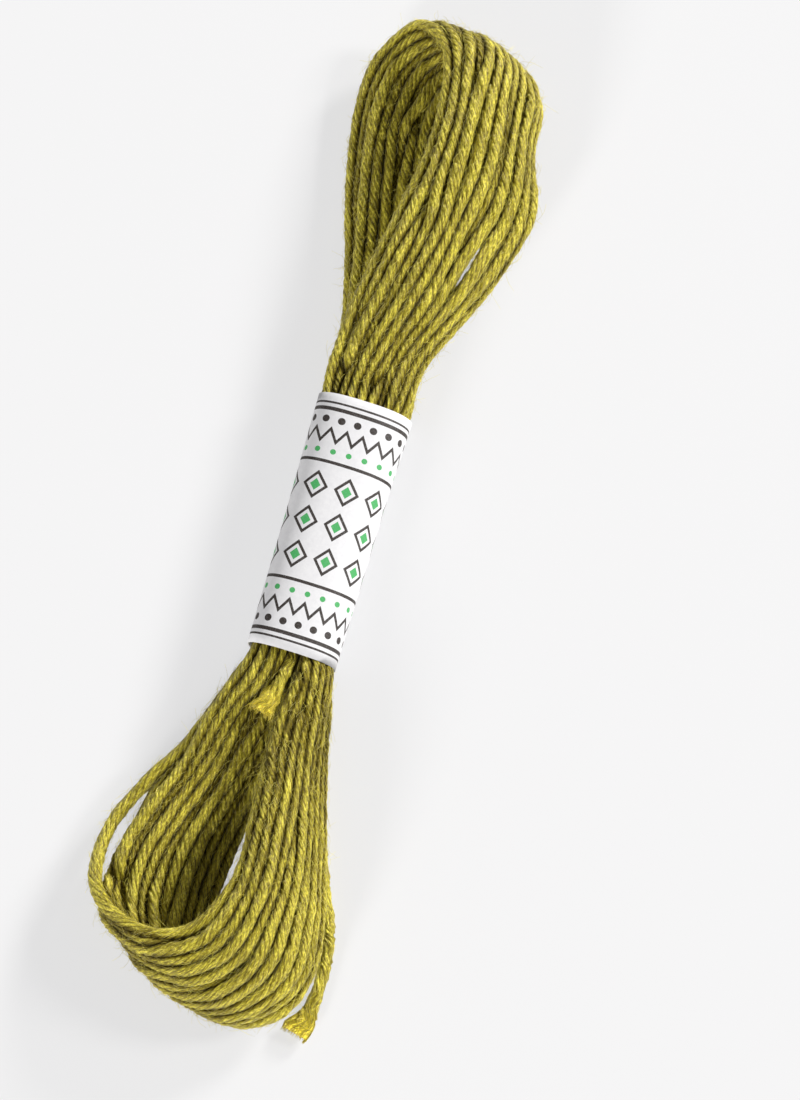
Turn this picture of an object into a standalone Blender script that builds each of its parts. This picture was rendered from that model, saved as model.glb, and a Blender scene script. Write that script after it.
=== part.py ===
"""A skein of embroidery floss held by a paper band, lying on a table.

The thread is wound into a hank of about 26 turns, two layers of 13, pinched in the
band and open in a teardrop loop at each end. The table SECTIONS walks once round the
hank. Lengths are in millimetres, with the band's centre at x = y = 0, +Y towards the
head loop and the table at z = 0. GROUND then moves the whole to the middle of its box.
"""
import math
from collections import namedtuple

import bmesh
import bpy
from mathutils import Vector

MM = 0.001

# Driving dimensions
THREAD = 1.2              # diameter of the relaxed thread
TURNS_ACROSS = 13         # turns side by side in one layer
RIDGE_DEPTH = 0.34        # how far the grooves between turns go in
BAND_RIDGE_DEPTH = 0.16   # the same where the band squeezes them
EDGE_THINNING = 0.22      # the hank is this much thinner at its first and last turn
STATIONS_A_ROW = 3        # cross-sections for each row of SECTIONS
PRESSED_FLAT = 0.40       # what lies lower than this is flattened on the table
CLEARANCE = 0.32          # between pieces

BAND_LENGTH = 24.5
BAND_WALL = 0.5
BAND_HEIGHT = 6.1
BAND_SQUARENESS = 2.5     # exponent of the superellipse, 2 is an ellipse
BAND_LEAN = 0.09          # the top slopes down to the right
BAND_FLAT_CUT = 0.16      # what the table flattens off the underside
BAND_SIDES = 36

# The band's ends: y of the end, x of its middle, and half its width
BandEnd = namedtuple("BandEnd", "y x half_width")
BAND_ENDS = [
    BandEnd(-BAND_LENGTH / 2, -0.05, 4.10),
    BandEnd(0.0, -0.15, 4.15),
    BandEnd(BAND_LENGTH / 2, -0.30, 4.40),
]

# One row for each cross-section of the hank: the centre of the first turn, of the
# middle one and of the last one as (x, y, z), and how thick the two layers are.
# near is the run on top, seen from above, and far is the one on the table.
Section = namedtuple("Section", "name first middle last thick")
SECTIONS = [
    Section("near band middle", (0.4, 0, 4.45), (1.5, 0, 4.2), (2.7, 0, 3.4), 1.8),
    Section("near foot exit", (1.65, -12.6, 4.4), (2.3, -12.6, 4.0), (2.8, -12.6, 3.2), 2.1),
    Section("near foot narrow", (1.2, -19, 5.3), (3.1, -20, 4.9), (5.1, -19.5, 3.0), 2.3),
    Section("near foot rising", (1.65, -27.3, 6.5), (4.4, -28, 6.2), (7.5, -28, 2.9), 2.3),
    Section("near foot wide", (1.6, -34.2, 7.2), (5.4, -35, 7.1), (9.3, -34.4, 2.9), 2.3),
    Section("near foot turning", (-0.9, -39.0, 7.2), (5.0, -40.2, 6.9), (9.9, -39.6, 2.9), 2.3),
    Section("near foot across", (-4.6, -40.4, 6.6), (2.4, -43.3, 6.0), (8.4, -43.5, 2.8), 2.3),
    Section("foot rim", (-8.6, -39.4, 5.0), (-0.2, -44.0, 4.8), (4.9, -45.5, 2.3), 2.3),
    Section("foot tip", (-10.9, -37.2, 3.4), (-4.2, -42.8, 3.0), (1.9, -44.2, 1.6), 2.2),
    Section("far foot turning", (-11.6, -34.3, 2.2), (-6.6, -39.2, 1.4), (0.0, -41.2, 1.1), 2.1),
    Section("far foot wide", (-11.2, -30.9, 1.7), (-6.8, -35, 1.05), (-0.6, -37.2, 1.0), 2.1),
    Section("far foot open", (-9.5, -27.2, 1.9), (-5.8, -29.5, 1.05), (-0.4, -31, 1.0), 2.1),
    Section("far foot closing", (-7.0, -23, 2.4), (-4.1, -24, 1.3), (0.3, -24.5, 1.0), 2.1),
    Section("far foot narrow", (-5.0, -17.8, 3.0), (-2.8, -18, 2.0), (0.2, -18.5, 1.1), 2.1),
    Section("far foot exit", (-2.6, -12.6, 3.4), (-1.3, -12.6, 2.6), (0.6, -12.6, 1.8), 2.1),
    Section("far band middle", (-2.8, 0, 2.2), (-0.9, 0, 1.85), (1.6, 0, 1.75), 1.8),
    Section("far head exit", (-3.1, 12.6, 2.0), (-0.3, 12.6, 1.8), (2.6, 12.6, 2.0), 1.8),
    Section("far head narrow", (-4.1, 18.5, 1.5), (-0.8, 19, 1.1), (2.6, 19, 1.3), 2.1),
    Section("far head opening", (-5.8, 26, 1.4), (-1.9, 27, 1.0), (1.8, 27, 1.1), 2.1),
    Section("far head open", (-8.0, 33.5, 1.4), (-3.6, 35.5, 1.0), (1.0, 36, 1.0), 2.1),
    Section("far head wide", (-9.3, 40.5, 1.7), (-4.2, 42.3, 1.05), (1.0, 41.5, 1.0), 2.1),
    Section("far head turning", (-9.0, 46.2, 2.4), (-3.0, 47.4, 1.4), (2.6, 46.3, 1.3), 2.1),
    Section("head tip", (-6.1, 49.8, 4.4), (0.2, 49.5, 4.1), (4.7, 47.8, 2.4), 2.1),
    Section("near head turning", (-2.8, 48.0, 6.7), (2.6, 47.2, 6.8), (6.9, 45.2, 3.5), 2.2),
    Section("near head wide", (-1.3, 42.8, 7.2), (3.4, 41.7, 7.3), (7.4, 40.8, 4.0), 2.3),
    Section("near head open", (-1.2, 36.5, 6.9), (3.7, 35.0, 6.9), (9.2, 34.8, 3.6), 2.3),
    Section("near head closing", (-2.3, 30, 6.1), (2.8, 29, 6.2), (7.9, 28.8, 3.2), 2.3),
    Section("near head narrow", (-3.4, 24, 5.1), (1.6, 23, 5.4), (5.8, 23.4, 3.2), 2.2),
    Section("near head pinched", (-4.0, 18, 4.5), (0.4, 18, 4.7), (3.6, 18.0, 3.8), 2.1),
    Section("near head exit", (-3.1, 12.6, 4.15), (-0.3, 12.6, 4.3), (2.5, 12.6, 4.1), 1.9),
]

# The thread's two cut ends: centre line points (x, y, z) from the hidden end to the cut
LOOSE_END_ROUTE = [
    (0.2, 12.0, 2.92), (0.2, 9.5, 2.92), (0.2, 7.0, 2.90), (0.1, 4.5, 2.90), (-0.05, 2.0, 2.92),
    (-0.25, -0.5, 3.00), (-0.4, -3.0, 3.20), (-0.4, -5.5, 3.55), (-0.25, -8.0, 4.05), (0.0, -10.2, 4.48),
    (0.15, -12.1, 4.72), (0.05, -13.7, 4.90), (-0.2, -15.2, 5.00), (-0.5, -16.7, 5.00), (-0.9, -18.2, 4.88),
]
OUTER_END_ROUTE = [
    (2.75, -12.7, 1.25), (3.2, -14.7, 0.90), (3.8, -17.0, 0.68), (4.5, -19.3, 0.65), (5.2, -21.6, 0.65),
    (6.0, -23.9, 0.65), (6.8, -26.2, 0.65), (7.7, -28.5, 0.65), (8.5, -30.6, 0.65), (9.35, -32.5, 0.65),
    (10.1, -34.3, 0.65), (10.7, -36.1, 0.65), (11.0, -38.0, 0.65), (11.1, -39.8, 0.65), (11.05, -41.5, 0.65),
    (10.85, -43.1, 0.65), (10.4, -44.9, 0.65),
]
ROUTE_STEPS = 2           # points of the tube for each stretch of a route
GROOVE_SPARE = 0.33       # extra room that the hank leaves round a cut end
GROOVE_RUN_IN = 4.0       # the groove starts this far before the tube does

# Finish of each piece: colour (linear), roughness
THREAD_GREEN = (0.27, 0.24, 0.035)
PAPER_WHITE = (0.80, 0.80, 0.82)


def clear_scene():
    for old in list(bpy.data.objects):
        bpy.data.objects.remove(old, do_unlink=True)


def material(name, colour, roughness):
    made = bpy.data.materials.new(name)
    made.use_nodes = True
    shader = made.node_tree.nodes["Principled BSDF"]
    shader.inputs["Base Color"].default_value = (*colour, 1.0)
    shader.inputs["Roughness"].default_value = roughness
    shader.inputs["Metallic"].default_value = 0.0
    return made


def smooth_point(p0, p1, p2, p3, t):
    """Centripetal Catmull-Rom: the point at t, 0 to 1, between p1 and p2."""
    k0 = 0.0
    k1 = k0 + math.sqrt((p1 - p0).length)
    k2 = k1 + math.sqrt((p2 - p1).length)
    k3 = k2 + math.sqrt((p3 - p2).length)
    k = k1 + (k2 - k1) * t
    a1 = p0.lerp(p1, (k - k0) / (k1 - k0))
    a2 = p1.lerp(p2, (k - k1) / (k2 - k1))
    a3 = p2.lerp(p3, (k - k2) / (k3 - k2))
    b1 = a1.lerp(a2, (k - k0) / (k2 - k0))
    b2 = a2.lerp(a3, (k - k1) / (k3 - k1))
    return b1.lerp(b2, (k - k1) / (k2 - k1))


def across(section, v):
    """The centre of the turn at v, 0 the first to 1 the last, on a parabola."""
    first, middle, last = (Vector(p) for p in (section.first, section.middle, section.last))
    return first * (1 - v) * (1 - 2 * v) + middle * 4 * v * (1 - v) + last * v * (2 * v - 1)


def turn_line(v):
    """The closed centre line of the turn at v, with STATIONS_A_ROW points a row."""
    rows = [across(section, v) for section in SECTIONS]
    count = len(rows)
    line = []
    for i in range(count):
        four = [rows[(i + k) % count] for k in (-1, 0, 1, 2)]
        line += [smooth_point(*four, k / STATIONS_A_ROW) for k in range(STATIONS_A_ROW)]
    return line


def thickness_line():
    """The thickness of the two layers at each station."""
    count = len(SECTIONS)
    line = []
    for i, section in enumerate(SECTIONS):
        following = SECTIONS[(i + 1) % count].thick
        for k in range(STATIONS_A_ROW):
            line.append(section.thick + (following - section.thick) * k / STATIONS_A_ROW)
    return line


def open_route(points):
    """A smooth line through a hand-made route, ROUTE_STEPS points a stretch."""
    route = [Vector(p) for p in points]
    route = [route[0] * 2 - route[1]] + route + [route[-1] * 2 - route[-2]]
    line = []
    for i in range(1, len(route) - 2):
        line += [smooth_point(*route[i - 1:i + 3], k / ROUTE_STEPS) for k in range(ROUTE_STEPS)]
    return line + [route[-2]]


def band_at(y):
    """The band's middle x and half width at y."""
    for low, high in zip(BAND_ENDS, BAND_ENDS[1:]):
        if y <= high.y:
            break
    t = min(max((y - low.y) / (high.y - low.y), 0.0), 1.0)
    return low.x + (high.x - low.x) * t, low.half_width + (high.half_width - low.half_width) * t


def band_centre_z(x):
    half_height = (BAND_HEIGHT + BAND_FLAT_CUT) / 2
    return half_height - BAND_FLAT_CUT - BAND_LEAN * x


def squeezed(point):
    """The point, drawn in where it would touch the band."""
    if abs(point.y) > BAND_LENGTH / 2 + 2 * CLEARANCE:
        return point
    x_middle, half_width = band_at(point.y)
    room = BAND_WALL + CLEARANCE
    semi_x = half_width - room
    semi_z = (BAND_HEIGHT + BAND_FLAT_CUT) / 2 - room
    dx = point.x - x_middle
    dz = point.z - band_centre_z(point.x - x_middle)
    reach = (abs(dx / semi_x) ** BAND_SQUARENESS + abs(dz / semi_z) ** BAND_SQUARENESS) ** (1 / BAND_SQUARENESS)
    if reach > 1:
        dx /= reach
        dz /= reach
    x = x_middle + dx
    z = max(band_centre_z(dx) + dz, room)
    return Vector((x, point.y, z))


def groove_line(line):
    """The line of a cut end, run on before its hidden start."""
    return [line[0] + (line[0] - line[1]).normalized() * GROOVE_RUN_IN] + line


def pushed_off(point, lines):
    """The point, moved out of the groove along each of the lines."""
    room = THREAD / 2 + CLEARANCE + GROOVE_SPARE
    for line in lines:
        for a, b in zip(line, line[1:]):
            t = max(0.0, min(1.0, (point - a).dot(b - a) / (b - a).length_squared))
            nearest = a.lerp(b, t)
            away = point - nearest
            if away.length < room:
                point = nearest + away.normalized() * room
    return point


def fitted(point, grooves):
    return pushed_off(squeezed(point), grooves)


def rested(point):
    """The point, on the table where it comes close to it."""
    if point.z < PRESSED_FLAT:
        return Vector((point.x, point.y, 0.0))
    return point


def hank_rings(grooves):
    """The rings of points of the hank's cross-sections, ridged once for each turn."""
    places = 2 * TURNS_ACROSS - 1
    lines = [turn_line(k / (places - 1)) for k in range(places)]
    thick = thickness_line()
    stations = len(thick)
    rings = []
    for s in range(stations):
        before, after = (s - 1) % stations, (s + 1) % stations
        in_band = abs(lines[0][s].y) < BAND_LENGTH / 2
        outer_depth = BAND_RIDGE_DEPTH if in_band else RIDGE_DEPTH
        inner_depth = 0.0 if in_band else RIDGE_DEPTH
        outer, inner, sides = [], [], []
        for k, line in enumerate(lines):
            v = k / (places - 1)
            along = line[after] - line[before]
            side = lines[min(k + 1, places - 1)][s] - lines[max(k - 1, 0)][s]
            normal = along.cross(side).normalized()
            half = thick[s] / 2 * (1 - EDGE_THINNING * (2 * v - 1) ** 4)
            is_groove = k % 2
            outer.append(fitted(line[s] + normal * half, grooves) - normal * outer_depth * is_groove)
            inner.append(fitted(line[s] - normal * half, grooves) + normal * inner_depth * is_groove)
            if k in (0, places - 1):
                edge = line[s] + side.normalized() * THREAD / 2 * (1 if k else -1)
                sides.append([fitted(edge + normal * half * sign * 0.5, grooves) for sign in (1, -1)])
        ring = outer + sides[1] + inner[::-1] + sides[0][::-1]
        rings.append([rested(point) for point in ring])
    return rings


def loft(name, rings, closed, finish):
    """A mesh through rings of points; closed joins the last ring to the first."""
    body = bmesh.new()
    rows = [[body.verts.new(point * MM) for point in ring] for ring in rings]
    count = len(rows)
    for i in range(count if closed else count - 1):
        one, two = rows[i], rows[(i + 1) % count]
        for k in range(len(one)):
            nxt = (k + 1) % len(one)
            body.faces.new((one[k], two[k], two[nxt], one[nxt]))
    bmesh.ops.recalc_face_normals(body, faces=body.faces)
    mesh = bpy.data.meshes.new(name)
    body.to_mesh(mesh)
    body.free()
    mesh.shade_smooth()
    mesh.materials.append(finish)
    return bpy.data.objects.new(name, mesh)


def make_skein(grooves, finish):
    skein = loft("skein", hank_rings(grooves), True, finish)
    split = skein.modifiers.new("Triangulate", "TRIANGULATE")
    split.quad_method = "SHORTEST_DIAGONAL"
    return skein


def make_band(finish):
    """The paper band: a sleeve with a superellipse section, flat underneath."""
    rings = []
    semi_z = (BAND_HEIGHT + BAND_FLAT_CUT) / 2
    for end in BAND_ENDS:
        ring = []
        for k in range(BAND_SIDES):
            turn = 2 * math.pi * k / BAND_SIDES
            cosine, sine = math.cos(turn), math.sin(turn)
            dx = math.copysign(abs(cosine) ** (2 / BAND_SQUARENESS), cosine) * end.half_width
            dz = math.copysign(abs(sine) ** (2 / BAND_SQUARENESS), sine) * semi_z
            ring.append(Vector((end.x + dx, end.y, max(band_centre_z(dx) + dz, 0.0))))
        rings.append(ring)
    band = loft("band", rings, False, finish)
    wall = band.modifiers.new("Wall", "SOLIDIFY")
    wall.thickness = BAND_WALL * MM
    wall.offset = -1.0
    wall.use_even_offset = True
    return band


def make_cut_end(name, line, finish):
    """A plain round tube along one of the thread's cut ends."""
    curve = bpy.data.curves.new(name, "CURVE")
    curve.dimensions = "3D"
    curve.bevel_depth = THREAD / 2 * MM
    curve.bevel_resolution = 2
    curve.use_fill_caps = True
    spline = curve.splines.new("POLY")
    spline.points.add(len(line) - 1)
    for point, place in zip(spline.points, line):
        point.co = (*(place * MM), 1.0)
    curve.materials.append(finish)
    return bpy.data.objects.new(name, curve)


def box_of(objects):
    """The lowest and highest corners of the objects' meshes."""
    corners = [vertex.co for item in objects for vertex in item.data.vertices]
    low = [min(corner[axis] for corner in corners) for axis in range(3)]
    high = [max(corner[axis] for corner in corners) for axis in range(3)]
    return Vector(low), Vector(high)


def main():
    clear_scene()
    collection = bpy.data.collections.new("embroidery_skein")
    bpy.context.scene.collection.children.link(collection)

    thread_finish = material("thread", THREAD_GREEN, 0.55)
    paper_finish = material("paper", PAPER_WHITE, 0.6)
    loose_line = open_route(LOOSE_END_ROUTE)
    outer_line = open_route(OUTER_END_ROUTE)
    skein = make_skein([groove_line(loose_line), groove_line(outer_line)], thread_finish)
    band = make_band(paper_finish)
    loose_end = make_cut_end("loose_end", loose_line, thread_finish)
    outer_end = make_cut_end("outer_end", outer_line, thread_finish)

    low, high = box_of([skein, band])
    ground = bpy.data.objects.new("ground", None)
    ground.location = (-(low.x + high.x) / 2, -(low.y + high.y) / 2, 0.0)
    collection.objects.link(ground)
    for piece in (skein, band, loose_end, outer_end):
        collection.objects.link(piece)
        piece.parent = ground


main()
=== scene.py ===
"""The looks of the skein of embroidery floss: every turn of twisted thread, the paper band and the cut ends.

Lengths are in millimetres in the layout frame of the table SECTIONS: y runs from the foot's loop to the
head's, the band's middle is near x = y = 0, and the table is at z = 0. to_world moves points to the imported
part's frame, in metres.
"""
import math
from collections import namedtuple

import bpy
import numpy as np
from mathutils import Matrix, Vector
from mathutils.kdtree import KDTree


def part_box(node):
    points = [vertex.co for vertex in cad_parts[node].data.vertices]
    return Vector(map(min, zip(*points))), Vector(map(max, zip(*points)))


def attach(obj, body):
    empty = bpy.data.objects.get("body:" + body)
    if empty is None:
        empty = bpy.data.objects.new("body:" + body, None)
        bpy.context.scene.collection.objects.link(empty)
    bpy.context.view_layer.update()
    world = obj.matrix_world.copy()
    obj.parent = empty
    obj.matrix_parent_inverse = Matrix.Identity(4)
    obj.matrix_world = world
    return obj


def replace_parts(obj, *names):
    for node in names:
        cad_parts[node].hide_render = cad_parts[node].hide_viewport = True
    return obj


MM = 0.001
UP = np.array([0.0, 0.0, 1.0])
SEED = 7
NO_LENGTH = 1e-9  # keeps a division by a length defined

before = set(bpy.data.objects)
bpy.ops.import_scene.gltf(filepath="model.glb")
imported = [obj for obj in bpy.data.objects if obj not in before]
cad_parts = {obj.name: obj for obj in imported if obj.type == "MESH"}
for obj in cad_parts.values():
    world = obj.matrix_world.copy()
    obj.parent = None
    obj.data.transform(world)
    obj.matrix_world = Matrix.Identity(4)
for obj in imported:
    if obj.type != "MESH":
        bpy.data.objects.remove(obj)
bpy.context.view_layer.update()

# The band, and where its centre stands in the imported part
BAND_LENGTH = 24.5
BAND_HEIGHT = 6.1
BAND_SQUARENESS = 2.5  # power of the rounded square that its cross-section follows
BAND_LEAN = 0.09  # how far it falls for each millimetre to the right
BAND_FLAT_CUT = 0.16  # what the table flattens off its underside
BAND_SPARE = 0.2  # how far beyond its edges the turns are kept inside it
PAPER = 0.16
BandPlace = namedtuple("BandPlace", "y x half_width")
BAND_PLACES = [
    BandPlace(-BAND_LENGTH / 2, -0.05, 4.10),
    BandPlace(0.0, -0.15, 4.15),
    BandPlace(BAND_LENGTH / 2, -0.30, 4.40),
]
BAND_BOX = [np.array(corner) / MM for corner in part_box("band")]
BAND_BOX_MIDDLE_X = -0.30  # x of the middle of the band's box, in the layout
SHIFT = np.array([
    (BAND_BOX[0][0] + BAND_BOX[1][0]) / 2 - BAND_BOX_MIDDLE_X,
    (BAND_BOX[0][1] + BAND_BOX[1][1]) / 2,
    0.0,
])

# The hank: the turns run through these cross-sections, which are the solid's own but for those by the band
Section = namedtuple("Section", "name first middle last thick")
SECTIONS = [Section(*row) for row in (
    ("near band middle", (-0.4, 0, 4.6), (1.5, 0, 4.1), (3.1, 0, 3.3), 3.0),
    ("near foot exit", (1.45, -12.6, 4.7), (2.7, -12.6, 3.9), (3.5, -12.6, 2.8), 3.2),
    ("near foot narrow", (1.2, -19, 5.3), (3.1, -20, 4.9), (5.1, -19.5, 3.0), 2.3),
    ("near foot rising", (1.65, -27.3, 6.5), (4.4, -28, 6.2), (7.5, -28, 2.9), 2.3),
    ("near foot wide", (1.6, -34.2, 7.2), (5.4, -35, 7.1), (9.3, -34.4, 2.9), 2.3),
    ("near foot turning", (-0.9, -39.0, 7.2), (5.0, -40.2, 6.9), (9.9, -39.6, 2.9), 2.3),
    ("near foot across", (-4.6, -40.4, 6.6), (2.4, -43.3, 6.0), (8.4, -43.5, 2.8), 2.3),
    ("foot rim", (-8.6, -39.4, 5.0), (-0.2, -44.0, 4.8), (4.9, -45.5, 2.3), 2.3),
    ("foot tip", (-10.9, -37.2, 3.4), (-4.2, -42.8, 3.0), (1.9, -44.2, 1.6), 2.2),
    ("far foot turning", (-11.6, -34.3, 2.2), (-6.6, -39.2, 1.4), (0.0, -41.2, 1.1), 2.1),
    ("far foot wide", (-11.2, -30.9, 1.7), (-6.8, -35, 1.05), (-0.6, -37.2, 1.0), 2.1),
    ("far foot open", (-9.5, -27.2, 1.9), (-5.8, -29.5, 1.05), (-0.4, -31, 1.0), 2.1),
    ("far foot closing", (-7.0, -23, 2.4), (-4.1, -24, 1.3), (0.3, -24.5, 1.0), 2.1),
    ("far foot narrow", (-5.0, -17.8, 3.0), (-2.8, -18, 2.0), (0.2, -18.5, 1.1), 2.1),
    ("far foot exit", (-3.3, -12.6, 3.2), (-1.5, -12.6, 2.8), (0.8, -12.6, 1.6), 3.2),
    ("far band middle", (-3.2, 0, 2.5), (-1.3, 0, 2.1), (1.6, 0, 1.5), 2.8),
    ("far head exit", (-3.9, 12.6, 1.8), (-0.3, 12.6, 1.5), (3.3, 12.6, 1.8), 2.1),
    ("far head narrow", (-4.1, 18.5, 1.5), (-0.8, 19, 1.1), (2.6, 19, 1.3), 2.1),
    ("far head opening", (-5.8, 26, 1.4), (-1.9, 27, 1.0), (1.8, 27, 1.1), 2.1),
    ("far head open", (-8.0, 33.5, 1.4), (-3.6, 35.5, 1.0), (1.0, 36, 1.0), 2.1),
    ("far head wide", (-9.3, 40.5, 1.7), (-4.2, 42.3, 1.05), (1.0, 41.5, 1.0), 2.1),
    ("far head turning", (-9.0, 46.2, 2.4), (-3.0, 47.4, 1.4), (2.6, 46.3, 1.3), 2.1),
    ("head tip", (-6.1, 49.8, 4.4), (0.2, 49.5, 4.1), (4.7, 47.8, 2.4), 2.1),
    ("near head turning", (-2.8, 48.0, 6.7), (2.6, 47.2, 6.8), (6.9, 45.2, 3.5), 2.2),
    ("near head wide", (-1.3, 42.8, 7.2), (3.4, 41.7, 7.3), (7.4, 40.8, 4.0), 2.3),
    ("near head open", (-1.2, 36.5, 6.9), (3.7, 35.0, 6.9), (9.2, 34.8, 3.6), 2.3),
    ("near head closing", (-2.3, 30, 6.1), (2.8, 29, 6.2), (7.9, 28.8, 3.2), 2.3),
    ("near head narrow", (-3.4, 24, 5.1), (1.6, 23, 5.4), (5.8, 23.4, 3.2), 2.2),
    ("near head pinched", (-4.0, 18, 4.5), (0.4, 18, 4.7), (3.6, 18.0, 3.8), 2.1),
    ("near head exit", (-3.9, 12.6, 4.3), (-0.3, 12.6, 4.5), (3.2, 12.6, 4.2), 2.2),
)]
ROW_STEP = 0.05  # steps for the slopes of the hank's surface: in rows of SECTIONS round it,
PLACE_STEP = 0.01  # and in widths of the hank across it
TURNS = 25
POINTS_A_TURN = 320
LAYING_DETAIL = 4  # points of a turn while it is laid, for each one that it keeps
LAYERS = (0.10, -0.50, -0.15, 0.06, -0.72)  # heights of neighbouring turns, in thicknesses of the hank
SIDE_LAYER = 0.0  # the same for the first and the last turn
PLACE_JITTER = 0.4  # how far a turn may lie from its even place, in turns
PLACE_WANDER = 0.036  # how it wanders across the hank, in widths of the hank
HEIGHT_WANDER = 0.30  # and up and down
WANDER_WAVES = (1, 2, 3, 5)

# Where the turns part: the middle's place round the hank in rows of SECTIONS and across it,
# the clear opening, and how many turns lie on its low side
HANK_WIDTH = 11.0
GAP_CURVE = 0.050  # how fast the turns close in towards the ends of a gap
Gap = namedtuple("Gap", "row v opening turns_before")
GAPS = [
    Gap(9.95, 0.105, 1.60, 1),
    Gap(24.4, 0.355, 0.32, 9),
    Gap(24.25, 0.515, 0.28, 12),
    Gap(26.35, 0.76, 0.30, 19),
    Gap(25.9, 0.90, 0.28, 22),
    Gap(26.75, 0.985, 0.26, 24),
]
GAP_SMOOTHING = 0.30  # half length of the averaging along a turn, in rows
LEAST_FACING = 0.3  # how far the hank is taken to face the camera, at least
STEEPEST_SIGHT = 1.5

# The thread: silk plies twisted together
THREAD_RADIUS = 0.625
BAND_THREAD_RADIUS = 0.55
SQUEEZE_FADE = (11.5, 16.0)  # |y| where the thread starts to fill out, and where it has
PLIES = 7
PLY_PROFILE = (0.85, 0.955, 1.0, 0.955)  # radius round one ply, from one groove to the next
TWIST_LEAD = 5.6  # length of one whole twist
RING_STEP = 0.50
FINE_STEPS = 6  # points of a smooth line for each one that it keeps
FLATNESS = 0.07  # how far a thread's cross-section is from round
Wave = namedtuple("Wave", "size number")  # random waves: their size, and how many in a thread
RADIUS_WAVE = Wave(0.035, 14)
TWIST_WAVE = Wave(0.5, 9)  # radians
PLY_WAVE = Wave(0.05, 60)
FLAT_WAVE = Wave(3.0, 6)  # radians
WAVE_SHARES = (0.35, 0.6, 1.0, 1.5)
WAVE_HEIGHT = 1.4  # of the waves' sum
RADIUS_SPREAD = (0.95, 1.05)  # from thread to thread
LEAD_SPREAD = (0.9, 1.25)
TURNS_A_PIECE = 5
THREAD_OFFSET = 431.0  # sets each thread's pattern apart from the others'

# How the turns settle: in each step, threads that overlap push each other apart
BAND_CONTACT = 0.77  # threads press into each other, more so in the band
CONTACT = 0.83
SETTLE_STEPS = 70
STEPS_A_SEARCH = 10  # steps between two searches for neighbours
SEARCH_ROOM = 0.35  # how far beyond touching they are looked for
SAME_THREAD_APART = 8  # nearer points of one turn don't push each other
LEAST_DISTANCE = 1e-4
CROWDING = 0.6  # power of the number of touches that eases a point's push
STIFFNESS = 0.7  # how far a point follows its neighbours on the turn
SPRING_BACK = 0.995  # how much of its drift a turn keeps
TABLE_CONTACT = 0.97  # least height of a centre over the table, in radii
OUTLINE_SPARE = 0.06  # how far the side turns may leave the hank's outline
OUTER_ROOM = -0.85  # from half the hank's thickness: how far out a turn's centre may go
PROUD = 0.50  # and how much further the proudest turns stand on top
INNER_ROOM = 0.75  # and how far in, where the loops are open
RIM_ROOM = -0.60  # and how far in where the hank stands on its side, at the loops' rims

# The attribute valley sets painted shade on the thread: 0 down between two threads, where the silk is painted
# darkest, 1 in the open, FRAYED at the cuts, where the brush is painted lighter than the silk
VALLEY_WIDTH = 0.42
NEIGHBOURS = 7  # how many other threads may press on a ring
FRAYED = 2.0

# The thread's two cut ends, the same routes as in the solids
LOOSE_END_ROUTE = [
    (0.2, 12.0, 2.92), (0.2, 9.5, 2.92), (0.2, 7.0, 2.90), (0.1, 4.5, 2.90), (-0.05, 2.0, 2.92),
    (-0.25, -0.5, 3.00), (-0.4, -3.0, 3.20), (-0.4, -5.5, 3.55), (-0.25, -8.0, 4.05), (0.0, -10.2, 4.48),
    (0.15, -12.1, 4.72), (0.05, -13.7, 4.90), (-0.2, -15.2, 5.00), (-0.5, -16.7, 5.00), (-0.9, -18.2, 4.88),
]
OUTER_END_ROUTE = [
    (2.75, -12.7, 1.25), (3.2, -14.7, 0.90), (3.8, -17.0, 0.68), (4.5, -19.3, 0.65), (5.2, -21.6, 0.65),
    (6.0, -23.9, 0.65), (6.8, -26.2, 0.65), (7.7, -28.5, 0.65), (8.5, -30.6, 0.65), (9.35, -32.5, 0.65),
    (10.1, -34.3, 0.65), (10.7, -36.1, 0.65), (11.0, -38.0, 0.65), (11.1, -39.8, 0.65), (11.05, -41.5, 0.65),
    (10.85, -43.1, 0.65), (10.4, -44.9, 0.65),
]
FRAY_LENGTH = 2.7  # the plies run straight and spread into a flat brush in the last part
Brush = namedtuple("Brush", "across wide flat shift rise")  # way and factor it widens, and how it moves
LOOSE_BRUSH = Brush((1.0, -0.12, 0.0), 2.0, 0.72, -0.12, 0.85)
OUTER_BRUSH = Brush((1.0, 0.30, 0.0), 2.1, 0.70, -0.25, 0.05)
CUT_UNEVENNESS = 0.10
BRUSH_OVER_TABLE = 0.02
BRUSH_FIBRES = 90
FIBRE_SIDES = 4
FIBRE_RADIUS = (0.012, 0.030)
FIBRE_SPREAD = (-0.02, 0.10)  # in or out of the brush
FIBRE_PAST_CUT = (0.02, 0.40)

# The fuzz: fine hairs that stand off the threads
HAIRS = 13000
HAIRS_A_PIECE = 6500
HAIR_RADIUS = 0.016
HAIR_THINNING = 0.5  # of its radius, at its tip
HAIR_POINTS = 4
HAIR_SIDES = 3
HAIR_LENGTHS = (2.0, 0.28)  # shape and scale of their gamma distribution
SHORTEST_HAIR, LONGEST_HAIR = 0.25, 1.8
HAIR_ROOT = 0.93  # from the thread's centre, in radii
HAIR_LIFT = (0.08, 0.38)  # how far a hair stands off, for its length
HAIR_ARCH = 2.2  # radians
HAIR_SWING = 0.6
HAIR_OFF_BAND = 2
HAIR_OVER_TABLE = 0.05

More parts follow.
